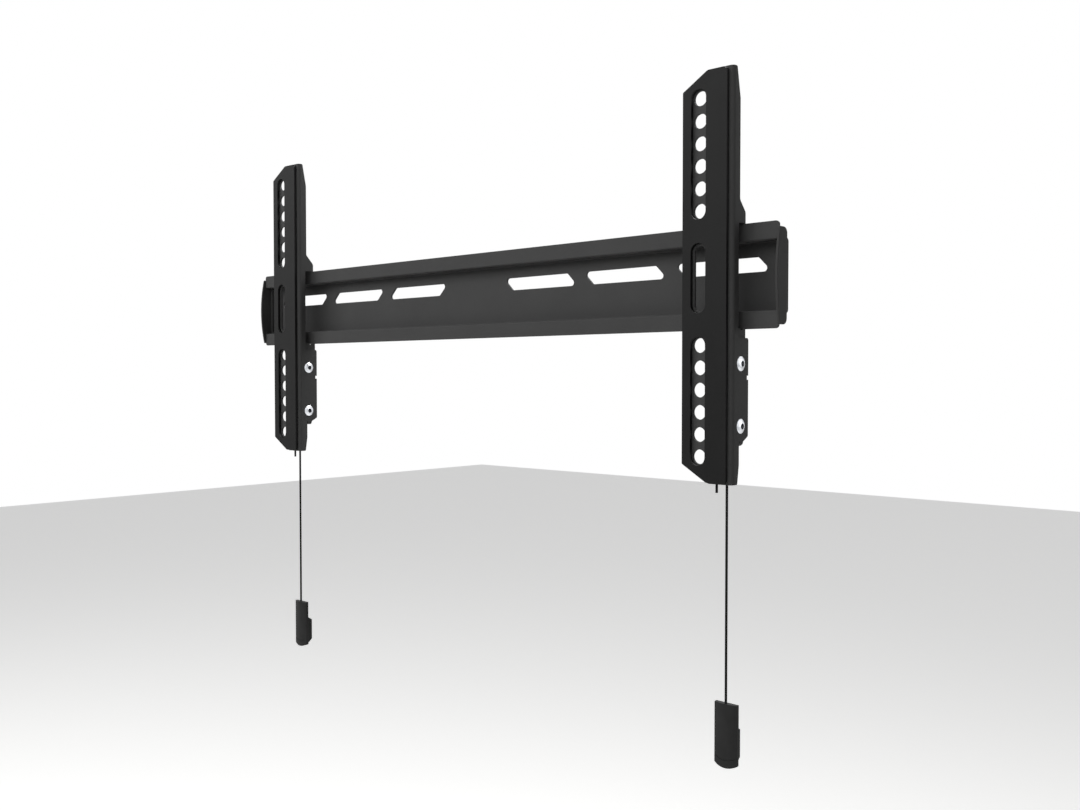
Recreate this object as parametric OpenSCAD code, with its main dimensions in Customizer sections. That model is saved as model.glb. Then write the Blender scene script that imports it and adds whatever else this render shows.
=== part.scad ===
// Fixed wall bracket for a flat television.
// A folded and slotted wall plate carries two hook-on arms, which slide along its lips.
// Each arm has a spring latch behind the lower lip, opened by a pull cord with a handle.
// Frame: +X to the right along the wall, +Y towards the wall, +Z up. The wall is at Y = 0,
// and the origin is at the middle of the plate's wall face.

/* [Wall plate] */
// Length of the plate along the wall
plate_w = 485.6; // [478:0.2:640]
// Height of the plate over both lips
plate_h = 58.3; // [57:0.1:60]
// Distance from the wall to the front of the lips
plate_depth = 10.9; // [10.5:0.1:12]
// Outer height of the channel between the lips
channel_h = 40.4; // [38:0.2:41]
// Sheet thickness of the plate
plate_t = 1.5; // [1.2:0.1:1.6]
// Inner radius of the plate's folds
plate_fold_r = 1; // [0.5:0.1:1.2]
// Radius of the lips' corners
lip_corner_r = 2; // [1:0.5:5]

/* [Wall slots] */
// Slots on each side of the middle
slot_count = 3; // [1:1:3]
// Length of a slot over its slanted ends
slot_w = 61; // [40:1:64]
// Height of a slot
slot_h = 8.7; // [6:0.1:10]
// Distance from one slot to the next
slot_pitch = 70; // [67:1:71]
// Distance from the middle of the plate to the first slot
slot_start = 30.1; // [20:0.1:32]
// Height of the slots' middle over the plate's middle
slot_rise = 7.15; // [0:0.05:10]
// Radius of the slots' corners
slot_corner_r = 2; // [0.5:0.1:2.5]

/* [End caps] */
// Thickness of the cap's end wall
cap_t = 1.6; // [1.2:0.1:3]
// Height of the cap
cap_h = 53; // [51:0.5:54]
// How far the cap's middle lies below the plate's middle
cap_drop = 0.6; // [0:0.1:1]
// Distance from the wall to the back edge of the cap
cap_back = 4.2; // [3.5:0.1:5.5]
// How far the cap's front corners stand before the lips
cap_proud = 1; // [0.5:0.1:1.3]
// Height of the bulge of the cap's front edge
cap_bulge = 2.9; // [1:0.1:3.2]
// Radius of the cap's back corners
cap_corner_r = 3.5; // [1:0.5:3.5]
// How far the plug reaches into the channel
plug_w = 3.2; // [2.4:0.1:6]
// Wall thickness of the plug
plug_t = 1.2; // [0.8:0.1:1.6]

/* [Arms] */
// Distance between the two arms' rows of holes
vesa_w = 400; // [200:1:430]
// Distance from one hole to the next
hole_pitch = 12.5; // [11:0.1:12.6]
// Least distance from a hole's middle to the arm's end
hole_margin = 14; // [12:0.1:14.8]
// Height of the first hole over the middle of the arm
first_hole = 37.5; // [34:0.5:38]
// Diameter of a hole
hole_d = 8.3; // [5:0.1:8.6]
// Height of an arm
arm_h = 229.7; // [229:0.1:260]
// Sheet thickness of an arm
arm_t = 1.5; // [1.2:0.1:1.5]
// Distance from the wall to the front of the arm's sheet
arm_front = 22.3; // [22.2:0.1:24]
// Distance from the row of holes to the arm's left edge
arm_left = 10.4; // [9:0.1:14]
// Distance from the row of holes to the outer face of the side flange
arm_right = 21.4; // [21.3:0.1:26]
// Inner radius of the arm's folds
arm_fold_r = 1; // [0.8:0.1:1]
// How far the middle of the arms hangs below the middle of the plate
arm_drop = 0.5; // [0:0.1:1]
// Width of the slanted corners
chamfer_w = 16.2; // [8:0.1:18]
// Height of the slanted corners
chamfer_h = 9.9; // [4:0.1:11]
// Length of the slot in the middle of the arm
mid_slot_h = 36.7; // [20:0.1:38]
// Width of the slot in the middle of the arm
mid_slot_w = 7; // [4:0.1:8]

/* [Side flange] */
// Distance from the wall to the flange's rear edge
flange_back = 15.3; // [14.8:0.1:16]
// Distance from the wall to the flange's edge beside the plate
notch_back = 16.4; // [16.2:0.1:17]
// Distance from the wall to the flange's rear corner at its upper end
upper_tip_back = 18.6; // [17:0.1:19]
// Distance from the wall to the flange's rear corner at its lower end
lower_tip_back = 16.9; // [16.2:0.1:19]
// Height of the taper at the flange's upper end
upper_taper_h = 17; // [8:0.5:24]
// Height of the taper at the flange's lower end
lower_taper_h = 10.8; // [6:0.1:16]
// Height of the hook's shoulder over the arm's middle, at its top
shoulder_top = 42.6; // [41.5:0.1:46]
// Height of the hook's shoulder over the arm's middle, at its rear end
shoulder_low = 34.2; // [33.5:0.1:35]
// How far the hook reaches down behind the lip
hook_drop = 7.2; // [3:0.1:7.5]
// Width of the hook behind the lip
hook_w = 17; // [8:0.5:20]
// Top of the lower ear under the arm's middle
ear_top = 33.4; // [33.2:0.1:34.5]
// Bottom of the lower ear under the arm's middle
ear_bottom = 93.6; // [93.4:0.1:97]
// Height of the slant at the ear's lower rear corner
ear_slant_h = 5.3; // [4:0.1:8]
// Distance from the wall to the ear's rear edge
ear_back = 5.8; // [4:0.1:6.2]
// Width of the tab that carries the spring
ear_tab_w = 4.4; // [4.2:0.1:5]
// Distance from the arm's middle down to the small nick in the ear's rear edge
nick_drop = 54.4; // [45:0.1:60]
// Height of the nick
nick_h = 2.3; // [1:0.1:4]
// Depth of the nick
nick_d = 1.4; // [0.5:0.1:2]

/* [Pads] */
// Thickness of the pad on the arm's front
pad_t = 2.2; // [1:0.1:3]
// Distance from the row of holes to the pad's right edge
pad_right = 18.4; // [14:0.1:18.8]
// How much shorter the pad is than the arm, at each end
pad_inset = 0.6; // [0:0.1:2]
// Width of the pad's windows
window_w = 9.7; // [9:0.1:12]
// Length of the pad's middle window
mid_window_h = 39.1; // [38.5:0.1:44]
// Radius of the pad's right corners
pad_corner_r = 2.5; // [0.5:0.1:4]

/* [Latches] */
// Sheet thickness of the latch
latch_t = 1.5; // [1.2:0.1:1.6]
// Inner radius of the latch's fold
latch_fold_r = 1; // [0.5:0.1:1]
// How far the latch slides down
latch_travel = 4.5; // [4:0.1:4.6]
// How far the finger overlaps the lower lip
finger_h = 3.6; // [2:0.1:4]
// Thickness of the finger behind the lip
finger_t = 3; // [2:0.1:3.2]
// Height of the slant on top of the finger
finger_slant = 1.6; // [0.5:0.1:1.8]
// How far the latch reaches up in front of the lower lip
lug_h = 1; // [0.5:0.1:2]
// Distance from the arm's middle down to the top of the latch's foot
foot_drop = 69.5; // [68:0.1:70]
// How far the latch's foot reaches in from the flange
foot_w = 14.5; // [14:0.1:16]
// Distance from the foot's inner end to the spring's axis
spring_inset = 4.9; // [3:0.1:5]
// Outer diameter of the latch spring
spring_d = 4; // [3:0.1:4.2]
// Wire diameter of the latch spring
wire_d = 0.6; // [0.4:0.1:0.8]
// Turns of the latch spring
spring_turns = 8; // [5:1:10]

/* [Rivets] */
// Diameter of a rivet's shank
rivet_d = 4.8; // [4:0.1:5]
// Diameter of a rivet's domed head
rivet_head_d = 8.2; // [7:0.1:9]
// Height of a rivet's domed head
rivet_head_h = 1.3; // [0.8:0.1:2]
// Diameter of a rivet's inner collar
collar_d = 7; // [6:0.1:7.4]
// Thickness of a rivet's inner collar
collar_t = 2; // [1:0.1:2.4]
// Diameter of the mandrel in the rivet
mandrel_d = 3.4; // [2.6:0.1:3.6]
// Distance from the arm's middle down to the upper rivet
upper_rivet_drop = 47.8; // [46:0.1:49]
// Distance from the arm's middle down to the lower rivet
lower_rivet_drop = 82.5; // [81.8:0.1:82.8]
// Distance from the wall to the rivets' axes
rivet_off = 13.5; // [12.5:0.1:14]

/* [Pull handles] */
// Width of a handle
handle_w = 14.6; // [12:0.1:18]
// Height of a handle
handle_h = 36.2; // [35:0.1:45]
// Thickness of a handle at its side edges
handle_t = 2.2; // [1.8:0.1:3]
// How far the middle of the front bulges
handle_bulge = 1.3; // [0.5:0.1:2]
// How far the bottom edge curves down
handle_sag = 2; // [1:0.1:4]
// Height of the front's fine groove over the bottom edge
groove_rise = 4.2; // [2:0.1:6]
// Width of the groove
groove_w = 0.6; // [0.4:0.1:1]
// Depth of the groove
groove_d = 0.4; // [0.2:0.1:0.8]
// Distance from the handle's top to its magnet housing
housing_drop = 12.1; // [8:0.1:13]
// Height of the magnet housing, over its slants
housing_h = 22.8; // [20:0.1:23]
// Width of the magnet housing
housing_w = 10.4; // [9:0.1:12]
// Depth of the magnet housing behind the handle
housing_d = 4.8; // [3:0.1:6]
// Diameter of the magnet
magnet_d = 8; // [5:0.1:8.4]
// Thickness of the magnet
magnet_t = 2; // [1:0.1:3]

/* [Hidden] */

// Facets of a full circle, and steps along a rounded corner and a long arc
$fn = 48;
corner_steps = 6;
arc_steps = 16;
// Overrun of cuts, and the clearances of fits
overrun = 1;
running_gap = 0.3;
rivet_gap = 0.2;
fit_gap = 0.1;
shank_gap = 0.05;
mandrel_gap = 0.03;

// Colours
steel_colour = "#3c3d3f";
cap_colour = "#2e2f31";
pad_colour = "#2a2b2d";
zinc_colour = "#d5d6d8";
cord_colour = "#161617";
handle_colour = "#2f3032";
magnet_colour = "#a9abae";

// Plate: outer radius of its folds, and the back of its lips
plate_fold_outer = plate_fold_r + plate_t;
lip_back = plate_depth - plate_t;

// Arm: its front fold, the flange's inner face, and the lips' edges in the arm's own heights
arm_fold_outer = arm_fold_r + arm_t;
flange_inner = arm_right - arm_t;
flange_front = arm_front - arm_fold_outer;
sheet_right = arm_right - arm_fold_outer;
// Each group has as many holes as fit between its first hole and the arm's end
hole_count = 1 + floor((arm_h / 2 - hole_margin - first_hole) / hole_pitch);
last_hole = first_hole + (hole_count - 1) * hole_pitch;
lip_top = plate_h / 2 + arm_drop;
lip_bottom = arm_drop - plate_h / 2;
notch_top = lip_top + running_gap;
hook_front = lip_back - running_gap;
hook_back = hook_front - arm_t;
hook_fold = hook_back + arm_fold_outer;
// The shoulder slants evenly from the flange's rear edge to the hook's back
shoulder_mid = shoulder_low
    + (shoulder_top - shoulder_low) * (hook_fold - hook_back) / (flange_back - hook_back);
ear_slant_back = flange_back - ear_tab_w;
ear_fold_z = arm_fold_outer - ear_bottom;
fold_relief = 0.5;
shoulder_r = 3;
ear_corner_r = 1.5;
chamfer_r = 4;
edge_r = 1;

// Latch: it lies against the flange's inner face and behind the lower lip
latch_fold_outer = latch_fold_r + latch_t;
latch_outer = flange_inner - running_gap;
latch_inner = latch_outer - latch_t;
latch_front = flange_front + rivet_gap;
finger_front = hook_front;
latch_back = finger_front - finger_t;
latch_top = lip_bottom - running_gap;
lug_back = plate_depth + running_gap;
finger_top = lip_bottom + finger_h;
latch_bottom = ear_fold_z + latch_travel + running_gap;
foot_left = latch_outer - foot_w;
foot_notch_h = 12;
foot_z = -foot_drop;
foot_under = foot_z - latch_t;
latch_corner_r = 2;

// Spring: it stands on the ear's tab and pushes the foot up
spring_x = foot_left + spring_inset;
spring_y = -(flange_back + ear_slant_back) / 2;
spring_bottom = arm_t - ear_bottom;
spring_sides = 6;
spring_steps = 16;
// Rise of the spring's first and last turn, as a share of the wire's diameter
end_rise_share = 1.3;

// Rivets: the mandrel ends below the head's hole and behind the collar
mandrel_recess = 1.6;
mandrel_head_d = 3.8;
mandrel_head_t = 1.6;
rivet_drops = [upper_rivet_drop, lower_rivet_drop];

// Cord: its route in the arm's own frame, from the handle over the foot to its cut tail
cord_d = 1.5;
cord_sides = 8;
cord_hole_d = 2.1;
cord_route = [
    [15.8, -18.5, -237.4], [15.8, -18.5, -229], [15.8, -18.5, -220], [15.8, -18.5, -211],
    [15.8, -18.5, -202], [15.8, -18.5, -193], [15.8, -18.5, -184], [15.8, -18.5, -175],
    [15.8, -18.5, -166], [15.8, -18.5, -157], [15.8, -18.5, -148], [15.8, -18.5, -139],
    [15.8, -18.5, -130], [15.8, -18.5, -121], [15.8, -18.5, -112], [15.8, -18.5, -103],
    [15.8, -18.5, -94], [15.8, -18.5, -85], [15.8, -18.5, -77], [15.8, -18.5, -70],
    [15.5, -18.5, -68.6], [14.8, -18.5, -67.6], [13.7, -18.5, -67], [12.5, -18.5, -66.8],
    [11.3, -18.5, -67], [10.2, -18.5, -67.6], [9.5, -18.5, -68.6], [9.2, -18.5, -70],
    [9.2, -18.5, -77], [9.2, -18.5, -86], [9.2, -18.5, -95], [9.2, -18.5, -104],
    [9.2, -18.5, -112], [9.2, -18.5, -120]];
cord_x = cord_route[0][0];
cord_off = -cord_route[0][1];
tail_x = cord_route[len(cord_route) - 1][0];
handle_top = -cord_route[0][2];

// Handle: its back lies behind the cord's axis
handle_seat = 2;
handle_back = cord_off - handle_seat;
handle_front = handle_back + handle_t;
handle_corner_r = 0.4;
groove_inset = 1.2;
housing_slant = 3.1;
housing_toe = 4;
housing_back = handle_back - housing_d;
housing_root = handle_back + handle_t / 2;
magnet_z = -handle_top - housing_drop - housing_h / 2;

// Vector helpers
function unit(v) = v / norm(v);
function lerp(a, b, share) = a + (b - a) * share;

// Points of a corner at p between a and b, rounded with radius r
function corner(a, p, b, r) = r == 0 ? [p] :
    let (u = unit(a - p), v = unit(b - p), half = acos(u * v) / 2,
        centre = p + unit(u + v) * r / sin(half),
        from = p + u * r / tan(half) - centre,
        to = p + v * r / tan(half) - centre,
        start = atan2(from[1], from[0]),
        turn = atan2(from[0] * to[1] - from[1] * to[0], from * to))
    [for (i = [0:corner_steps])
        centre + r * [cos(start + turn * i / corner_steps),
            sin(start + turn * i / corner_steps)]];

// Outline of [point, radius] pairs with its corners rounded
function rounded(pairs) = let (n = len(pairs))
    [for (i = [0:n - 1])
        each corner(pairs[(i + n - 1) % n][0], pairs[i][0], pairs[(i + 1) % n][0], pairs[i][1])];

// Points of a shallow arc from a to b that bulges to the right of its way
function bulge(a, b, sag) =
    let (chord = norm(b - a), r = (chord * chord / 4 + sag * sag) / (2 * sag),
        way = unit(b - a), side = [way[1], -way[0]],
        centre = (a + b) / 2 - side * (r - sag), half = asin(chord / 2 / r))
    [for (i = [0:arc_steps])
        centre + r * (side * cos(lerp(-half, half, i / arc_steps))
            + way * sin(lerp(-half, half, i / arc_steps)))];

// Round tube swept along a route, its rings turned as little as possible
function way_at(route, i) =
    unit(route[min(i + 1, len(route) - 1)] - route[max(i - 1, 0)]);
function square_to(n, way) = unit(n - (n * way) * way);
function ring_normals(route, first) =
    [for (i = 0, n = square_to(first, way_at(route, 0)); i < len(route);
        i = i + 1, n = i < len(route) ? square_to(n, way_at(route, i)) : n) n];

module tube(route, d, sides, first) {
    normals = ring_normals(route, first);
    rings = len(route);
    points = [for (i = [0:rings - 1], k = [0:sides - 1])
        let (n = normals[i], b = cross(way_at(route, i), n), turn = 360 * k / sides)
        route[i] + d / 2 * (n * cos(turn) + b * sin(turn))];
    walls = [for (i = [0:rings - 2], k = [0:sides - 1])
        let (next = (k + 1) % sides)
        each [
            [i * sides + k, (i + 1) * sides + k, (i + 1) * sides + next],
            [i * sides + k, (i + 1) * sides + next, i * sides + next]]];
    first_end = [for (k = [0:sides - 1]) k];
    last_end = [for (k = [0:sides - 1]) rings * sides - 1 - k];
    polyhedron(points, concat(walls, [first_end, last_end]));
}

// Outline in X and Z, given thickness t in front of a plane that is back from the wall
module along_y(back, t) {
    translate([0, -back, 0]) rotate([90, 0, 0]) linear_extrude(t) children();
}

// Outline in Y and Z, given thickness t from x on
module along_x(x, t) {
    translate([x, 0, 0]) rotate([90, 0, 90]) linear_extrude(t) children();
}

// Quarter of a fold's section, in the corner that side gives as a pair of signs
module fold(r_in, r_out, side) {
    intersection() {
        difference() {
            circle(r_out);
            circle(r_in);
        }
        translate([side[0] < 0 ? -r_out : 0, side[1] < 0 ? -r_out : 0]) square(r_out);
    }
}

// Upright slot with round ends
module round_slot(w, h) {
    square([w, h - w], center = true);
    for (end = [-1, 1]) translate([0, end * (h - w) / 2]) circle(d = w);
}

module place_left() {
    translate([-vesa_w / 2, 0, -arm_drop]) children();
}

module place_right() {
    translate([vesa_w / 2, 0, -arm_drop]) children();
}

// Upper half of the plate's section: web, fold, channel wall, fold and lip
module plate_half_section() {
    half = channel_h / 2;
    translate([-plate_t, 0]) square([plate_t, half - plate_fold_outer]);
    translate([-plate_fold_outer, half - plate_fold_outer])
        fold(plate_fold_r, plate_fold_outer, [1, 1]);
    translate([plate_fold_outer - plate_depth, half - plate_t])
        square([plate_depth - 2 * plate_fold_outer, plate_t]);
    translate([plate_fold_outer - plate_depth, half + plate_fold_r])
        fold(plate_fold_r, plate_fold_outer, [-1, -1]);
    translate([-plate_depth, half + plate_fold_r])
        square([plate_t, plate_h / 2 - half - plate_fold_r]);
}

// Slanted slot to the right of the middle, its upper edge nearer the middle
module wall_slot(i) {
    left = slot_start + i * slot_pitch;
    right = left + slot_w;
    low = slot_rise - slot_h / 2;
    high = slot_rise + slot_h / 2;
    polygon(rounded([
        [[left + slot_h, low], slot_corner_r],
        [[right, low], slot_corner_r],
        [[right - slot_h, high], slot_corner_r],
        [[left, high], slot_corner_r]]));
}

module wall_plate() {
    color(steel_colour) difference() {
        intersection() {
            along_x(-plate_w / 2, plate_w) for (side = [0, 1])
                mirror([0, side]) plate_half_section();
            along_y(0, plate_depth) polygon(rounded([
                [[-plate_w / 2, -plate_h / 2], lip_corner_r],
                [[plate_w / 2, -plate_h / 2], lip_corner_r],
                [[plate_w / 2, plate_h / 2], lip_corner_r],
                [[-plate_w / 2, plate_h / 2], lip_corner_r]]));
        }
        for (side = [0, 1], i = [0:slot_count - 1])
            mirror([side, 0, 0]) along_y(-overrun, plate_t + 2 * overrun) wall_slot(i);
    }
}

// Cap for the right end: an end wall with a bulged front edge, and a plug in the channel.
// The plug is a wall that closes the channel's end, with a tab at its top and its bottom.
module end_cap() {
    front = plate_depth + cap_proud;
    plug_half = channel_h / 2 - plate_t - fit_gap;
    plug_back = plate_t + fit_gap;
    plug_front = cap_back + plug_t;
    plug_corner = plate_fold_r + fit_gap;
    color(cap_colour) {
        translate([0, 0, -cap_drop]) along_x(plate_w / 2, cap_t) polygon(concat(
            bulge([-front, cap_h / 2], [-front, -cap_h / 2], cap_bulge),
            corner([-front, -cap_h / 2], [-cap_back, -cap_h / 2], [-cap_back, cap_h / 2],
                cap_corner_r),
            corner([-cap_back, -cap_h / 2], [-cap_back, cap_h / 2], [-front, cap_h / 2],
                cap_corner_r)));
        difference() {
            along_x(plate_w / 2 - plug_w, plug_w) polygon(rounded([
                [[-plug_front, -plug_half], 0],
                [[-plug_back, -plug_half], plug_corner],
                [[-plug_back, plug_half], plug_corner],
                [[-plug_front, plug_half], 0]]));
            along_x(plate_w / 2 - plug_w - overrun, plug_w - plug_t + overrun)
                translate([-plug_front - overrun, plug_t - plug_half])
                    square([plug_front + overrun, 2 * (plug_half - plug_t)]);
        }
    }
}

// Front outline that the arm's sheet and its pad share, with slanted left corners
module arm_face(half, right, right_r) {
    polygon(rounded([
        [[-arm_left, chamfer_h - half], edge_r],
        [[chamfer_w - arm_left, -half], chamfer_r],
        [[right, -half], right_r],
        [[right, half], right_r],
        [[chamfer_w - arm_left, half], chamfer_r],
        [[-arm_left, half - chamfer_h], edge_r]]));
}

// The flange's outline from its upper end down its rear edge
module flange_outline() {
    half = arm_h / 2;
    polygon(rounded([
        [[-flange_front, half], 0],
        [[-upper_tip_back, half], edge_r],
        [[-flange_back, half - upper_taper_h], 0],
        [[-flange_back, shoulder_top], shoulder_r],
        [[-hook_fold, shoulder_mid], 0],
        [[-hook_fold, notch_top], 0],
        [[-notch_back, notch_top], edge_r],
        [[-notch_back, -ear_top], edge_r],
        [[-ear_back, -ear_top], ear_corner_r],
        [[-ear_back, -nick_drop], 0],
        [[-ear_back - nick_d, -nick_drop], 0],
        [[-ear_back - nick_d, -nick_drop - nick_h], 0],
        [[-ear_back, -nick_drop - nick_h], 0],
        [[-ear_back, ear_slant_h - ear_bottom], ear_corner_r],
        [[-ear_slant_back, ear_fold_z], 0],
        [[fold_relief - flange_back, ear_fold_z], 0],
        [[fold_relief - flange_back, ear_fold_z + fold_relief], 0],
        [[-flange_back, ear_fold_z + fold_relief], 0],
        [[-flange_back, lower_taper_h - half], 0],
        [[-lower_tip_back, -half], edge_r],
        [[-flange_front, -half], 0]]));
}

// Hook folded in from the flange, down behind the upper lip
module hook() {
    hook_left = sheet_right - hook_w;
    hook_bottom = notch_top - hook_drop;
    intersection() {
        translate([0, 0, hook_bottom]) linear_extrude(shoulder_mid - hook_bottom) {
            translate([sheet_right, -hook_fold]) fold(arm_fold_r, arm_fold_outer, [1, 1]);
            translate([hook_left, -hook_front]) square([hook_w, arm_t]);
        }
        along_x(hook_left, arm_right - hook_left) polygon([
            [-hook_fold, notch_top], [-hook_front, notch_top],
            [-hook_front, hook_bottom], [-hook_back, hook_bottom],
            [-hook_back, shoulder_low], [-hook_fold, shoulder_mid]]);
    }
}

// Tab folded in from the ear's lower edge, under the spring
module ear_tab() {
    tab_left = spring_x - spring_d / 2 - fold_relief;
    translate([0, -ear_slant_back, 0]) rotate([90, 0, 0])
        linear_extrude(ear_tab_w - fold_relief) {
            translate([sheet_right, ear_fold_z]) fold(arm_fold_r, arm_fold_outer, [1, -1]);
            translate([tab_left, -ear_bottom]) square([sheet_right - tab_left, arm_t]);
        }
}

module arm() {
    color(steel_colour) difference() {
        union() {
            along_y(arm_front - arm_t, arm_t) arm_face(arm_h / 2, sheet_right, 0);
            translate([sheet_right, -flange_front, -arm_h / 2]) linear_extrude(arm_h)
                fold(arm_fold_r, arm_fold_outer, [1, -1]);
            along_x(flange_inner, arm_t) flange_outline();
            hook();
            ear_tab();
        }
        for (side = [-1, 1], i = [0:hole_count - 1])
            translate([0, overrun - arm_front + arm_t, side * (first_hole + i * hole_pitch)])
                rotate([90, 0, 0]) cylinder(d = hole_d, h = arm_t + 2 * overrun);
        along_y(arm_front - arm_t - overrun, arm_t + 2 * overrun)
            round_slot(mid_slot_w, mid_slot_h);
        for (drop = rivet_drops) translate([flange_inner - overrun, -rivet_off, -drop])
            rotate([0, 90, 0]) cylinder(d = rivet_d + 2 * shank_gap, h = arm_t + 2 * overrun);
    }
}

// Pad on the arm's front, with a window round each group of holes and the middle slot
module arm_pad() {
    window_h = last_hole - first_hole + window_w;
    color(pad_colour) along_y(arm_front, pad_t) difference() {
        arm_face(arm_h / 2 - pad_inset, pad_right, pad_corner_r);
        for (side = [-1, 1]) translate([0, side * (first_hole + last_hole) / 2])
            round_slot(window_w, window_h);
        round_slot(window_w, mid_window_h);
    }
}

// Outline of the latch, with the finger on top and a notch where the foot is folded out
module latch_outline() {
    polygon(rounded([
        [[-latch_front, latch_bottom], latch_corner_r],
        [[-latch_back, latch_bottom], latch_corner_r],
        [[-latch_back, finger_top - finger_slant], 0],
        [[-finger_front, finger_top], 0],
        [[-finger_front, latch_top], 0],
        [[-lug_back, latch_top], 0],
        [[-lug_back, latch_top + lug_h], 0],
        [[-latch_front, latch_top + lug_h], latch_corner_r],
        [[-latch_front, foot_z + foot_notch_h], 0],
        [[-ear_slant_back, foot_z + foot_notch_h], edge_r],
        [[-ear_slant_back, foot_z - latch_fold_outer], 0],
        [[-latch_front, foot_z - latch_fold_outer], 0]]));
}

module latch() {
    foot_back = ear_slant_back + fold_relief;
    foot_right = latch_outer - latch_fold_outer;
    color(steel_colour) difference() {
        union() {
            along_x(latch_inner, latch_t) latch_outline();
            translate([0, -foot_back, 0]) rotate([90, 0, 0])
                linear_extrude(latch_front - foot_back) {
                    translate([foot_right, foot_z - latch_fold_outer])
                        fold(latch_fold_r, latch_fold_outer, [1, 1]);
                    translate([foot_left, foot_under]) square([foot_right - foot_left, latch_t]);
                }
        }
        for (drop = rivet_drops) along_x(latch_inner - overrun, latch_t + 2 * overrun)
            translate([-rivet_off, latch_travel / 2 - drop])
                round_slot(rivet_d + 2 * rivet_gap, rivet_d + 2 * rivet_gap + latch_travel);
        for (x = [cord_x, tail_x]) translate([x, -cord_off, foot_under - overrun])
            cylinder(d = cord_hole_d, h = latch_t + 2 * overrun);
    }
}

// Compression spring between the ear's tab and the latch's foot, with closed end turns
module latch_spring() {
    low = spring_bottom + wire_d / 2;
    length = foot_under - spring_bottom - wire_d;
    end_rise = end_rise_share * wire_d;
    mid_rise = (length - 2 * end_rise) / (spring_turns - 2);
    coil_r = (spring_d - wire_d) / 2;
    route = [for (i = [0:spring_turns * spring_steps])
        let (turns = i / spring_steps, left = spring_turns - turns)
        [spring_x + coil_r * cos(360 * turns), spring_y + coil_r * sin(360 * turns),
            low + (turns < 1 ? end_rise * turns
                : left < 1 ? length - end_rise * left
                : end_rise + mid_rise * (turns - 1))]];
    color(zinc_colour) tube(route, wire_d, spring_sides, [1, 0, 0]);
}

// Hollow blind rivet along X, with its domed head outside and its collar behind the latch
module rivet(drop) {
    collar_right = latch_inner - running_gap;
    dome_r = (rivet_head_d * rivet_head_d / 4 + rivet_head_h * rivet_head_h)
        / (2 * rivet_head_h);
    color(zinc_colour) translate([0, -rivet_off, -drop]) rotate([0, 90, 0]) difference() {
        union() {
            translate([0, 0, arm_right]) rotate_extrude() intersection() {
                translate([0, rivet_head_h - dome_r]) circle(dome_r, $fn = 192);
                square([rivet_head_d / 2, rivet_head_h]);
            }
            translate([0, 0, collar_right - collar_t])
                cylinder(d = rivet_d, h = arm_right - collar_right + collar_t);
            translate([0, 0, collar_right - collar_t]) cylinder(d = collar_d, h = collar_t);
        }
        translate([0, 0, collar_right - collar_t - overrun]) cylinder(d = mandrel_d,
            h = arm_right - collar_right + collar_t + rivet_head_h + 2 * overrun);
    }
}

// Broken-off mandrel that fills the rivet, with its head behind the collar
module mandrel(drop) {
    collar_left = latch_inner - running_gap - collar_t;
    color(magnet_colour) translate([0, -rivet_off, -drop]) rotate([0, 90, 0]) {
        translate([0, 0, collar_left - mandrel_head_t])
            cylinder(d = mandrel_head_d, h = mandrel_head_t);
        translate([0, 0, collar_left - mandrel_head_t])
            cylinder(d = mandrel_d - 2 * mandrel_gap,
                h = arm_right - collar_left + mandrel_head_t + rivet_head_h - mandrel_recess);
    }
}

module pull_cord() {
    color(cord_colour) tube(cord_route, cord_d, cord_sides, [0, 1, 0]);
}

// Section of a handle from above, flat behind and bulged in front
module handle_section(front) {
    half = handle_w / 2;
    polygon(concat(
        corner([half, -front], [half, -handle_back], [-half, -handle_back], handle_corner_r),
        corner([half, -handle_back], [-half, -handle_back], [-half, -front], handle_corner_r),
        bulge([-half, -front], [half, -front], handle_bulge)));
}

// Front outline of a handle, its curved bottom edge raised by lift
module handle_outline(lift) {
    half = handle_w / 2;
    low = handle_sag + lift - handle_h;
    polygon(concat([[half, 0], [-half, 0]], bulge([-half, low], [half, low], handle_sag)));
}

// Curved groove across a handle's front, parallel to its bottom edge
module handle_groove() {
    difference() {
        along_y(handle_front - groove_d, groove_d + handle_bulge + overrun) intersection() {
            difference() {
                handle_outline(groove_rise);
                handle_outline(groove_rise + groove_w);
            }
            translate([groove_inset - handle_w / 2, -handle_h])
                square([handle_w - 2 * groove_inset, handle_h]);
        }
        translate([0, 0, -handle_h]) linear_extrude(handle_h)
            handle_section(handle_front - groove_d);
    }
}

module pull_handle() {
    color(handle_colour) translate([cord_x, 0, -handle_top]) difference() {
        union() {
            intersection() {
                translate([0, 0, -handle_h]) linear_extrude(handle_h)
                    handle_section(handle_front);
                along_y(0, handle_front + handle_bulge + overrun) handle_outline(0);
            }
            along_x(-housing_w / 2, housing_w) polygon([
                [-housing_root, -housing_drop],
                [-handle_back, -housing_drop],
                [-housing_back, -housing_drop - housing_slant],
                [-housing_back, housing_toe - housing_drop - housing_h],
                [-handle_back, -housing_drop - housing_h],
                [-housing_root, -housing_drop - housing_h]]);
        }
        handle_groove();
        translate([0, overrun - housing_back, -housing_drop - housing_h / 2])
            rotate([90, 0, 0]) cylinder(d = magnet_d + 2 * fit_gap, h = magnet_t + overrun);
    }
}

module magnet() {
    color(magnet_colour) translate([cord_x, -housing_back, magnet_z])
        rotate([90, 0, 0]) cylinder(d = magnet_d, h = magnet_t);
}

module left_end_cap() {
    mirror([1, 0, 0]) end_cap();
}

module right_end_cap() {
    end_cap();
}

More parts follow.
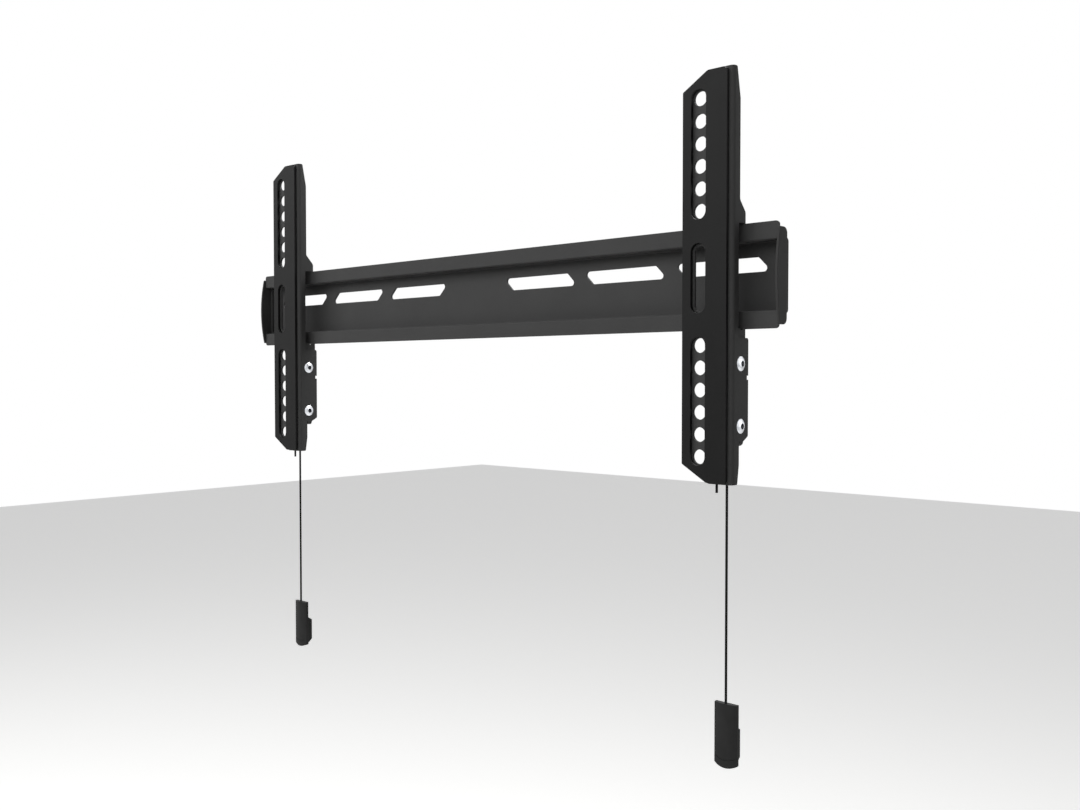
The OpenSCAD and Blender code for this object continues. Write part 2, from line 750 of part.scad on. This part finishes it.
wall_plate();
left_end_cap();
right_end_cap();
place_left() arm();  // left_arm
place_right() arm();  // right_arm
place_left() arm_pad();  // left_arm_pad
place_right() arm_pad();  // right_arm_pad
place_left() latch();  // left_latch
place_right() latch();  // right_latch
place_left() latch_spring();  // left_latch_spring
place_right() latch_spring();  // right_latch_spring
place_left() rivet(upper_rivet_drop);  // left_upper_rivet
place_left() rivet(lower_rivet_drop);  // left_lower_rivet
place_right() rivet(upper_rivet_drop);  // right_upper_rivet
place_right() rivet(lower_rivet_drop);  // right_lower_rivet
place_left() mandrel(upper_rivet_drop);  // left_upper_mandrel
place_left() mandrel(lower_rivet_drop);  // left_lower_mandrel
place_right() mandrel(upper_rivet_drop);  // right_upper_mandrel
place_right() mandrel(lower_rivet_drop);  // right_lower_mandrel
place_left() pull_cord();  // left_pull_cord
place_right() pull_cord();  // right_pull_cord
place_left() pull_handle();  // left_pull_handle
place_right() pull_handle();  // right_pull_handle
place_left() magnet();  // left_magnet
place_right() magnet();  // right_magnet
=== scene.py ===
import math

import bpy
from mathutils import Matrix, Vector


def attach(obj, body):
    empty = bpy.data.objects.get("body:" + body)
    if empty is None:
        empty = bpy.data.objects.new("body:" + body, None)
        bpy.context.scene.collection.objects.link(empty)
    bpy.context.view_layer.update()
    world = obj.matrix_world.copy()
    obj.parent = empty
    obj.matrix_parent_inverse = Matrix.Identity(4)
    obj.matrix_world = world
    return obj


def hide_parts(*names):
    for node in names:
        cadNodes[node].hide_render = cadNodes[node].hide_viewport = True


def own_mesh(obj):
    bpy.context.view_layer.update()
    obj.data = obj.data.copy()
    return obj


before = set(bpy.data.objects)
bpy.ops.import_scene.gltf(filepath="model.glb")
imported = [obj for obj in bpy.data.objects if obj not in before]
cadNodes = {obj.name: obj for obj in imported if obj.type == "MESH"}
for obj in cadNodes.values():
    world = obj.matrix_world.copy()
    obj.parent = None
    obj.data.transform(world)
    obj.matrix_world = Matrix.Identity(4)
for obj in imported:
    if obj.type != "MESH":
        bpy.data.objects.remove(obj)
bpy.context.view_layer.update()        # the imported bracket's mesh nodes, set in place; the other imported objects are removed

mm = 0.001  # scene lengths are metres, real sizes below are millimetres
sides = {"left": -200.0, "right": 200.0}  # X of each arm's row of holes
armDrop = 0.5  # the arms' middle hangs this far below the plate's
print("frame loaded,", len(cadNodes), "nodes")


def place(side, x, y, z):
    # a point given in an arm's own millimetres, in the scene's metres
    return ((sides[side] + x) * mm, y * mm, (z - armDrop) * mm)


# Camera

viewpoint = {
    "place": (0.52653, -0.52127, -0.05517),
    "turn": 41.836,      # degrees towards the left from straight ahead
    "tiltDown": 1.574,
    "lens": 35.0,
    "sensor": 36.0,
}


def makeCamera(values):
    data = bpy.data.cameras.new("camera")
    data.lens = values["lens"]
    data.sensor_width = values["sensor"]
    camera = bpy.data.objects.new("camera", data)
    bpy.context.collection.objects.link(camera)
    camera.location = values["place"]
    camera.rotation_euler = (math.radians(90 - values["tiltDown"]), 0,
                             math.radians(values["turn"]))
    bpy.context.scene.camera = camera


makeCamera(viewpoint)
print("camera placed")


# Materials

def linearColour(hexText):
    channels = [int(hexText[i:i + 2], 16) / 255 for i in (1, 3, 5)]
    return [c / 12.92 if c <= 0.04045 else ((c + 0.055) / 1.055) ** 2.4
            for c in channels] + [1.0]


def perMetre(size):
    return 1 / (size * mm)  # noise scale whose features have this size in millimetres


def addNode(tree, kind, inputs=None, **settings):
    node = tree.nodes.new(kind)
    for name, value in settings.items():
        setattr(node, name, value)
    for name, value in (inputs or {}).items():
        if isinstance(value, bpy.types.NodeSocket):
            tree.links.new(value, node.inputs[name])
        else:
            node.inputs[name].default_value = value
    return node


def newMaterial(name):
    material = bpy.data.materials.new(name)
    material.use_nodes = True
    tree = material.node_tree
    tree.nodes.clear()
    shader = addNode(tree, "ShaderNodeBsdfPrincipled")
    addNode(tree, "ShaderNodeOutputMaterial", {"Surface": shader.outputs["BSDF"]})
    return material, tree, shader


noiseSpread = {"ramp": (0.35, 0.65), "range": (0.3, 0.7)}   # where noise values gather


def colourRange(tree, factor, dark, light, ends=noiseSpread["ramp"]):
    ramp = addNode(tree, "ShaderNodeValToRGB", {"Fac": factor})
    for element, position, colour in zip(ramp.color_ramp.elements, ends, (dark, light)):
        element.position = position
        element.color = linearColour(colour)
    return ramp.outputs["Color"]


def valueRange(tree, factor, low, high):
    return addNode(tree, "ShaderNodeMapRange", {
        "Value": factor,
        "From Min": noiseSpread["range"][0], "From Max": noiseSpread["range"][1],
        "To Min": low, "To Max": high}).outputs["Result"]


def noise(tree, where, size, detail):
    # size of the pattern's features in millimetres
    return addNode(tree, "ShaderNodeTexNoise", {
        "Vector": where, "Scale": perMetre(size), "Detail": detail}).outputs["Fac"]


def objectPlace(tree):
    return addNode(tree, "ShaderNodeTexCoord").outputs["Object"]


def addBump(tree, height, strength, depth, under=None):
    inputs = {"Height": height, "Strength": strength, "Distance": depth * mm}
    if under is not None:
        inputs["Normal"] = under
    return addNode(tree, "ShaderNodeBump", inputs).outputs[0]


def setGloss(shader, values):
    shader.inputs["IOR"].default_value = values["ior"]
    shader.inputs["Specular IOR Level"].default_value = values["specular"]


# Polyester powder coat, sprayed and baked: dark, even, satin, with a fine orange peel
powderCoat = {
    "dark": "#3e3e3e", "light": "#434343",
    "peelSize": 1.1,     # mm, waves of the coat's skin
    "grainSize": 0.35,   # mm, drawn coarser than the real 0.1 so that it shows
    "cloudSize": 38.0,   # mm, slow change of tone along a part
    "roughness": (0.42, 0.52),
    "grainBump": (0.12, 0.04),   # strength, and depth in mm
    "peelBump": (0.16, 0.05),
    "ior": 1.5, "specular": 0.03,
}


def makePowderCoat(name, values):
    material, tree, shader = newMaterial(name)
    where = objectPlace(tree)
    cloud = noise(tree, where, values["cloudSize"], 3.0)
    grain = noise(tree, where, values["grainSize"], 2.0)
    peel = noise(tree, where, values["peelSize"], 1.0)
    tone = addNode(tree, "ShaderNodeMath", {0: cloud, 1: grain}, operation="ADD")
    half = addNode(tree, "ShaderNodeMath", {0: tone.outputs[0], 1: 0.5}, operation="MULTIPLY")
    tree.links.new(colourRange(tree, half.outputs[0], values["dark"], values["light"]),
                   shader.inputs["Base Color"])
    tree.links.new(valueRange(tree, grain, *values["roughness"]), shader.inputs["Roughness"])
    setGloss(shader, values)
    fine = addBump(tree, grain, *values["grainBump"])
    tree.links.new(addBump(tree, peel, *values["peelBump"], fine), shader.inputs["Normal"])
    return material


# Moulded thermoplastic with a spark-eroded grain: matt, with tiny sparkle and no gloss.
# Sizes are in mm, and a bump is its strength and its depth in mm.
mouldedPlastics = {
    "mouldedPadPlastic": {
        "dark": "#0d0d0d", "light": "#111111", "grainSize": 0.5, "cloudSize": 25.0,
        "roughness": (0.50, 0.60), "bump": (0.30, 0.04), "ior": 1.5, "specular": 0.11},
    "mouldedCapPlastic": {
        "dark": "#3a3a3a", "light": "#3e3e3e", "grainSize": 0.6, "cloudSize": 18.0,
        "roughness": (0.44, 0.54), "bump": (0.28, 0.04), "ior": 1.5, "specular": 0.03},
    "mouldedHandlePlastic": {
        "dark": "#272727", "light": "#2c2c2c", "grainSize": 0.45, "cloudSize": 12.0,
        "roughness": (0.40, 0.50), "bump": (0.25, 0.04), "ior": 1.5, "specular": 0.05},
}


def makeMouldedPlastic(name, values):
    material, tree, shader = newMaterial(name)
    where = objectPlace(tree)
    cloud = noise(tree, where, values["cloudSize"], 2.0)
    pits = addNode(tree, "ShaderNodeTexVoronoi", {
        "Vector": where, "Scale": perMetre(values["grainSize"])},
        feature="SMOOTH_F1").outputs["Distance"]
    grain = noise(tree, where, values["grainSize"], 3.0)
    tree.links.new(colourRange(tree, cloud, values["dark"], values["light"]),
                   shader.inputs["Base Color"])
    tree.links.new(valueRange(tree, grain, *values["roughness"]), shader.inputs["Roughness"])
    setGloss(shader, values)
    height = addNode(tree, "ShaderNodeMath", {0: pits, 1: grain}, operation="ADD")
    tree.links.new(addBump(tree, height.outputs[0], *values["bump"]), shader.inputs["Normal"])
    return material


# Plated, drawn and broken steel: bright blue-grey metal with a soft, slightly cloudy shine, dull
# where a mandrel broke off.
# The broken mandrel's near-black colour is painted shade of the hollow in the rivet where it
# sits. Sizes are in mm.
platedMetals = {
    "zincPlatedSteel": {
        "dark": "#c9ccd1", "light": "#e6e8ec", "cloudSize": 1.6, "lineSize": 0.25,
        "roughness": (0.24, 0.38)},
    "drawnSpringSteel": {
        "dark": "#8d9095", "light": "#b4b7bc", "cloudSize": 0.8, "lineSize": 0.2,
        "roughness": (0.28, 0.42)},
    # near-black colour: painted shade of the rivet's hollow, on dull steel
    "shadedMandrelSteel": {
        "dark": "#1c1d1f", "light": "#3a3c3f", "cloudSize": 0.5, "lineSize": 0.15,
        "roughness": (0.45, 0.65)},
    "nickelPlatedMagnet": {
        "dark": "#a8a59f", "light": "#c9c6c0", "cloudSize": 2.5, "lineSize": 0.3,
        "roughness": (0.16, 0.26)},
}
metalBump = (0.15, 0.02)   # strength, and depth in mm


def makePlatedMetal(name, values):
    material, tree, shader = newMaterial(name)
    where = objectPlace(tree)
    cloud = noise(tree, where, values["cloudSize"], 4.0)
    lines = noise(tree, where, values["lineSize"], 2.0)
    tree.links.new(colourRange(tree, cloud, values["dark"], values["light"]),
                   shader.inputs["Base Color"])
    tree.links.new(valueRange(tree, cloud, *values["roughness"]), shader.inputs["Roughness"])
    shader.inputs["Metallic"].default_value = 1.0
    tree.links.new(addBump(tree, lines, *metalBump), shader.inputs["Normal"])
    return material


# Braided polyamide cord: black, silky yarns that cross in a fine diamond pattern, with painted
# shade darkening the valleys between them
braid = {
    # the valley colour is painted shade between the yarns, and the crown colour is the yarn's
    # own black
    "valley": "#060606", "crown": "#1b1b1b",
    "yarns": 4.0,        # yarns seen running each way round the cord
    "layLength": 3.2,    # mm along the cord for one turn of a yarn
    "waveSpan": (-0.6, 1.0),     # of the higher of two crossing waves
    "toneSpan": (0.2, 0.95),
    "roughness": (0.75, 0.55),   # in a valley, on a crown
    "bump": (0.7, 0.12),         # strength, and depth in mm
    "ior": 1.53, "specular": 0.06,
}


def makeBraid(name, centre, values):
    material, tree, shader = newMaterial(name)
    onAxis = addNode(tree, "ShaderNodeMapping", {
        "Vector": objectPlace(tree),
        "Location": (-centre[0], -centre[1], 0)}).outputs["Vector"]
    parts = addNode(tree, "ShaderNodeSeparateXYZ", {"Vector": onAxis}).outputs
    angle = addNode(tree, "ShaderNodeMath", {0: parts["Y"], 1: parts["X"]},
                    operation="ARCTAN2").outputs[0]
    around = addNode(tree, "ShaderNodeMath", {0: angle, 1: values["yarns"]},
                     operation="MULTIPLY").outputs[0]
    turns = 2 * math.pi * values["yarns"] / (values["layLength"] * mm)
    along = addNode(tree, "ShaderNodeMath", {0: parts["Z"], 1: turns},
                    operation="MULTIPLY").outputs[0]
    waves = []
    for way in ("ADD", "SUBTRACT"):
        phase = addNode(tree, "ShaderNodeMath", {0: around, 1: along}, operation=way)
        waves.append(addNode(tree, "ShaderNodeMath", {0: phase.outputs[0]},
                             operation="SINE").outputs[0])
    crown = addNode(tree, "ShaderNodeMath", {0: waves[0], 1: waves[1]}, operation="MAXIMUM")
    height = addNode(tree, "ShaderNodeMapRange", {
        "Value": crown.outputs[0], "From Min": values["waveSpan"][0],
        "From Max": values["waveSpan"][1]}).outputs["Result"]
    # colour from the braid's height: darker towards the valleys as painted shade
    tree.links.new(colourRange(tree, height, values["valley"], values["crown"],
                               values["toneSpan"]), shader.inputs["Base Color"])
    tree.links.new(valueRange(tree, height, *values["roughness"]), shader.inputs["Roughness"])
    setGloss(shader, values)
    tree.links.new(addBump(tree, height, *values["bump"]), shader.inputs["Normal"])
    return material


finishes = {"blackPowderCoat": makePowderCoat("blackPowderCoat", powderCoat)}
for name, values in mouldedPlastics.items():
    finishes[name] = makeMouldedPlastic(name, values)
for name, values in platedMetals.items():
    finishes[name] = makePlatedMetal(name, values)
print("materials made")


# Edges of sheet metal and mouldings, softened as coat and mould leave them

softening = {
    "merge": 0.002,      # mm, joins the solid's split corners
    "flat": 0.3,         # degrees, faces flatter than this become one
    "edge": 35,          # degrees, sharper edges are rounded
    "smooth": 30,        # degrees, gentler edges are shaded smooth
}


def activate(piece):
    bpy.ops.object.select_all(action="DESELECT")
    piece.select_set(True)
    bpy.context.view_layer.objects.active = piece


def pieceName(node):
    words = node.split("_")
    return words[0] + "".join(word.capitalize() for word in words[1:])


def copySolid(node):
    piece = bpy.data.objects.new(pieceName(node), cadNodes[node].data.copy())
    bpy.context.collection.objects.link(piece)
    return piece


def standFor(piece, node, finish, body):
    piece.data.materials.clear()
    piece.data.materials.append(finishes[finish])
    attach(piece, body)
    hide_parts(node)
    return piece


def softenEdges(node, values):
    piece = values["make"](node) if "make" in values else copySolid(node)
    activate(piece)
    bpy.ops.object.mode_set(mode="EDIT")
    bpy.ops.mesh.select_all(action="SELECT")
    bpy.ops.mesh.remove_doubles(threshold=softening["merge"] * mm)
    bpy.ops.mesh.dissolve_limited(angle_limit=math.radians(softening["flat"]))
    bpy.ops.object.mode_set(mode="OBJECT")
    bevel = piece.modifiers.new("edge", "BEVEL")
    bevel.width = values["width"] * mm
    bevel.segments = values["segments"]
    bevel.limit_method = "ANGLE"
    bevel.angle_limit = math.radians(softening["edge"])
    bevel.use_clamp_overlap = True
    bpy.ops.object.modifier_apply(modifier=bevel.name)
    bpy.ops.object.shade_smooth_by_angle(angle=math.radians(softening["smooth"]))
    flats = piece.modifiers.new("flats", "WEIGHTED_NORMAL")  # keeps the broad faces flat
    flats.keep_sharp = True
    bpy.ops.object.modifier_apply(modifier=flats.name)
    return standFor(piece, node, values["finish"], values["body"])


# Pull cords and their handles

pullHandle = {"width": 0.35, "segments": 3,   # mm, rounding of its edges
              "finish": "mouldedHandlePlastic", "slot": "handle_plastic"}
pullCord = {
    "diameter": 1.5,     # mm
    "resolution": 3,
    # the hanging run in an arm's millimetres, from the top of the latch's foot to the handle
    "run": [(12.5, -66.8), (13.7, -67.0), (14.8, -67.6), (15.5, -68.6), (15.8, -70), (15.8, -77),
            (15.8, -85), (15.8, -94), (15.8, -103), (15.8, -112), (15.8, -121), (15.8, -130),
            (15.8, -139), (15.8, -148), (15.8, -157), (15.8, -166), (15.8, -175), (15.8, -184),
            (15.8, -193), (15.8, -202), (15.8, -211), (15.8, -220), (15.8, -229),
            (15.8, -237.4)],
    # its short other end, cut off under the arm
    "tail": [(12.5, -66.8), (11.3, -67.0), (10.2, -67.6), (9.5, -68.6), (9.2, -70), (9.2, -77),
             (9.2, -86), (9.2, -95), (9.2, -104), (9.2, -112), (9.2, -120)],
    "off": -18.5,        # Y of the cord's axis
}


def makeCord(name, points, material, values):
    data = bpy.data.curves.new(name, "CURVE")
    data.dimensions = "3D"
    spline = data.splines.new("POLY")
    spline.points.add(len(points) - 1)
    for point, where in zip(spline.points, points):
        point.co = (*where, 1)
    data.bevel_depth = values["diameter"] / 2 * mm
    data.bevel_resolution = values["resolution"]
    data.use_fill_caps = True
    data.materials.append(material)
    cord = bpy.data.objects.new(name, data)
    bpy.context.collection.objects.link(cord)
    return cord


def hangCord(side, values):
    handle = softenEdges(side + "_pull_handle", pullHandle | {"body": side + "_pull_latch"})
    centre = place(side, values["run"][-1][0], values["off"], 0)
    material = makeBraid(side + "BraidedCord", centre, values | braid)
    for part, farEnd, withPieces in (("run", "fitting", [handle, side + "_magnet"]),
                                     ("tail", "bare", [])):
        points = [place(side, x, values["off"], z) for x, z in values[part]]
        cord = makeCord(f"{side}Cord{part.capitalize()}", points, material, values)
        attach(cord, side + "_pull_latch")
        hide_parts(side + "_pull_cord")


for side in sides:
    hangCord(side, pullCord)
print("cords hung")


# Wall plate, folded from one sheet, with crisper folds and longer slots than its solid

# All in millimetres
plateSheet = {
    "halfWidth": 242.8, "halfHeight": 29.15, "depth": 10.9, "sheet": 1.5,
    "channelInside": 19.2,   # Z of the channel's inner faces
    "lipFoldR": 1.0,         # on the front of a lip, towards the channel
    "webFoldR": 0.8,         # inside the channel, at the web
    "backFoldR": 2.3,        # on the plate's back
    "innerFoldR": 0.3,       # behind a lip
    "cornerR": 2.0,
    "slotStarts": (28.0, 98.0, 168.0), "slotWidth": 65.3, "slotHeight": 8.3,
    "slotRise": 7.2,         # of the slots' middle above the plate's
    "slotCornerR": 2.0,
    "arcSteps": 5,
    "overrun": 5.0,          # how far the cutters reach past the sheet
}


def roundedOutline(corners, steps):
    # corners are pairs of a point and its radius
    outline = []
    for i, (corner, radius) in enumerate(corners):
        point = Vector(corner)
        if radius == 0:
            outline.append(point)
            continue
        toLast = (Vector(corners[i - 1][0]) - point).normalized()
        toNext = (Vector(corners[(i + 1) % len(corners)][0]) - point).normalized()
        half = toLast.angle(toNext) / 2
        centre = point + (toLast + toNext).normalized() * radius / math.sin(half)
        first = point + toLast * radius / math.tan(half) - centre
        last = point + toNext * radius / math.tan(half) - centre
        turn = math.atan2(first.x * last.y - first.y * last.x, first.dot(last))
        for k in range(steps + 1):
            outline.append(centre + Matrix.Rotation(turn * k / steps, 2) @ first)
    return outline


def makePrism(name, outline, axis, low, high):
    # an outline in the two other axes, drawn out along X or Y
    points = [(end, a, b) if axis == "X" else (a, end, b)
              for end in (low, high) for a, b in outline]
    count = len(outline)
    faces = [tuple(range(count)), tuple(range(count, 2 * count))]
    faces += [(i, (i + 1) % count, (i + 1) % count + count, i + count) for i in range(count)]
    data = bpy.data.meshes.new(name)
    data.from_pydata([[v * mm for v in point] for point in points], [], faces)
    prism = bpy.data.objects.new(name, data)
    bpy.context.collection.objects.link(prism)
    activate(prism)
    bpy.ops.object.mode_set(mode="EDIT")
    bpy.ops.mesh.select_all(action="SELECT")
    bpy.ops.mesh.normals_make_consistent(inside=False)
    bpy.ops.object.mode_set(mode="OBJECT")
    return prism


def cutWith(piece, cutter, operation):
    cut = piece.modifiers.new("cut", "BOOLEAN")
    cut.operation = operation
    cut.solver = "EXACT"
    cut.object = cutter
    activate(piece)
    bpy.ops.object.modifier_apply(modifier=cut.name)
    bpy.data.objects.remove(cutter)


def plateSection(values):
    # the hat section's upper half as (Y, Z), round the lip to the web, then mirrored
    front, sheet = -values["depth"], values["sheet"]
    inside, top = values["channelInside"], values["halfHeight"]
    outside = inside + sheet
    upper = [((0, outside), values["backFoldR"]),
             ((front + sheet, outside), values["innerFoldR"]),
             ((front + sheet, top), 0), ((front, top), 0),
             ((front, inside), values["lipFoldR"]), ((-sheet, inside), values["webFoldR"])]
    lower = [((y, -z), radius) for (y, z), radius in reversed(upper)]
    return roundedOutline(upper + lower, values["arcSteps"])


def makePlate(node, values=plateSheet):
    width, height, reach = values["halfWidth"], values["halfHeight"], values["overrun"]
    plate = makePrism(pieceName(node), plateSection(values), "X", -width, width)
    corners = [((x, z), values["cornerR"]) for x, z in
               ((-width, -height), (width, -height), (width, height), (-width, height))]
    cutWith(plate, makePrism("plateOutline", roundedOutline(corners, values["arcSteps"]), "Y",
                             -values["depth"] - reach, reach), "INTERSECT")
    slant = values["slotHeight"]   # the ends lean by 45 degrees
    low, high = values["slotRise"] - slant / 2, values["slotRise"] + slant / 2
    for start in values["slotStarts"]:
        end = start + values["slotWidth"]
        slot = [(start + slant, low), (end, low), (end - slant, high), (start, high)]
        for hand in (1, -1):
            corners = [((hand * x, z), values["slotCornerR"]) for x, z in slot]
            cutWith(plate, makePrism("slot", roundedOutline(corners, values["arcSteps"]), "Y",
                                     -values["sheet"] - reach, reach), "DIFFERENCE")
    return plate


# Plate, caps, arms, pads and latches

# The box, in mm of each side, that holds a plug's upper or lower face, and how far that face
# goes out, because the channel is wider here than in the solids
plugInChannel = {"x": (239.0, 242.81), "y": (-5.5, -1.4), "z": (17.5, 18.7), "wider": 0.5}


def makeCap(node, values=plugInChannel):
    cap = copySolid(node)
    for vertex in cap.data.vertices:
        x, y, z = (value / mm for value in vertex.co)
        if all(low < value < high for value, (low, high) in
               ((abs(x), values["x"]), (y, values["y"]), (abs(z), values["z"]))):
            vertex.co.z += math.copysign(values["wider"] * mm, z)
    return cap


coat = {"segments": 2, "finish": "blackPowderCoat", "slot": "coated_steel"}
softEdges = {"wall_plate": coat | {"make": makePlate, "width": 0.15, "body": "plate"}}
for side in sides:
    softEdges[side + "_end_cap"] = {
        "make": makeCap, "width": 0.4, "segments": 3, "finish": "mouldedCapPlastic",
        "slot": "cap_plastic", "body": "plate"}
for side in sides:
    softEdges[side + "_arm"] = coat | {"width": 0.22, "body": side + "_hook_arm"}
    softEdges[side + "_arm_pad"] = {
        "width": 0.35, "segments": 3, "finish": "mouldedPadPlastic", "slot": "pad_plastic",
        "body": side + "_hook_arm"}
    softEdges[side + "_latch"] = coat | {"width": 0.2, "body": side + "_pull_latch"}

for node, values in softEdges.items():
    softenEdges(node, values)
print("edges softened")


# Small metal parts keep their solids and get their finish, and the springs are copied to ride
# with the hook arms

metalParts = {
    "upper_rivet": "zincPlatedSteel", "lower_rivet": "zincPlatedSteel",
    # the mandrels' finish carries painted shade of the rivets' hollows
    "upper_mandrel": "shadedMandrelSteel", "lower_mandrel": "shadedMandrelSteel",
    "magnet": "nickelPlatedMagnet",
}
for side in sides:
    for part, finish in metalParts.items():
        node = cadNodes[f"{side}_{part}"]
        for slot in node.material_slots:
            slot.material = finishes[finish]


def makeSpring(side):
    node = side + "_latch_spring"
    spring = standFor(copySolid(node), node, "drawnSpringSteel",
                      side + "_hook_arm")
    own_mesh(spring)


for side in sides:
    makeSpring(side)
print("small parts finished")


# Floor, world and lamps

studio = {
    "floorHeight": -0.95,   # m, well below the hanging handles
    "floorSize": 14.0,
    "floorColour": "#f4f4f2",
    "floorRoughness": 0.9, "floorSpecular": 0.1,
    "floorGlow": 0.55,      # seen by camera, glossy and transmission rays only
    "skyForLight": 0.05,    # strength of the world for diffuse light
}


def whiteForViewer(tree):
    rays = addNode(tree, "ShaderNodeLightPath").outputs
    seen = addNode(tree, "ShaderNodeMath", {0: rays["Is Camera Ray"], 1: rays["Is Glossy Ray"]},
                   operation="MAXIMUM")
    return addNode(tree, "ShaderNodeMath", {0: seen.outputs[0],
                                            1: rays["Is Transmission Ray"]},
                   operation="MAXIMUM").outputs[0]


def makeFloor(values):
    bpy.ops.object.select_all(action="DESELECT")
    bpy.ops.mesh.primitive_plane_add(size=values["floorSize"],
                                     location=(0, 0, values["floorHeight"]))
    floor = bpy.context.active_object
    floor.name = "floor"
    bpy.ops.object.transform_apply(location=True)
    material, tree, shader = newMaterial("paleStudioFloor")
    shader.inputs["Base Color"].default_value = linearColour(values["floorColour"])
    shader.inputs["Roughness"].default_value = values["floorRoughness"]
    shader.inputs["Specular IOR Level"].default_value = values["floorSpecular"]
    shader.inputs["Emission Color"].default_value = (1, 1, 1, 1)
    glow = addNode(tree, "ShaderNodeMath", {0: whiteForViewer(tree), 1: values["floorGlow"]},
                   operation="MULTIPLY")
    tree.links.new(glow.outputs[0], shader.inputs["Emission Strength"])
    floor.data.materials.append(material)


def makeWorld(values):
    world = bpy.data.worlds.new("studio")
    bpy.context.scene.world = world
    world.use_nodes = True
    tree = world.node_tree
    tree.nodes.clear()
    strength = addNode(tree, "ShaderNodeMapRange", {
        "Value": whiteForViewer(tree), "To Min": values["skyForLight"], "To Max": 1.0})
    sky = addNode(tree, "ShaderNodeBackground", {
        "Color": (1, 1, 1, 1), "Strength": strength.outputs["Result"]})
    addNode(tree, "ShaderNodeOutputWorld", {"Surface": sky.outputs["Background"]})


# Places and sizes in metres, powers in watts
lamps = {
    "leftLamp": {"place": (-1.7, -1.8, 1.1), "size": 1.8, "power": 43.0},
    "frontLamp": {"place": (-0.2, -2.1, 1.3), "size": 1.6, "power": 23.0},
    "rightLamp": {"place": (1.2, -2.0, 1.0), "size": 1.6, "power": 13.0},
    "sideLamp": {"place": (1.9, 1.3, 0.3), "size": 1.6, "power": 9.0},
    "backLamp": {"place": (0.1, 0.5, 0.8), "size": 0.6, "power": 14.0},
}


def makeLamp(name, values):
    data = bpy.data.lights.new(name, "AREA")
    data.size = values["size"]
    data.energy = values["power"]
    lamp = bpy.data.objects.new(name, data)
    bpy.context.collection.objects.link(lamp)
    lamp.location = values["place"]
    toBracket = -lamp.location
    lamp.rotation_euler = toBracket.to_track_quat("-Z", "Y").to_euler()


makeFloor(studio)
makeWorld(studio)
for name, values in lamps.items():
    makeLamp(name, values)
bpy.context.scene.view_settings.view_transform = "Standard"
print("studio lit")
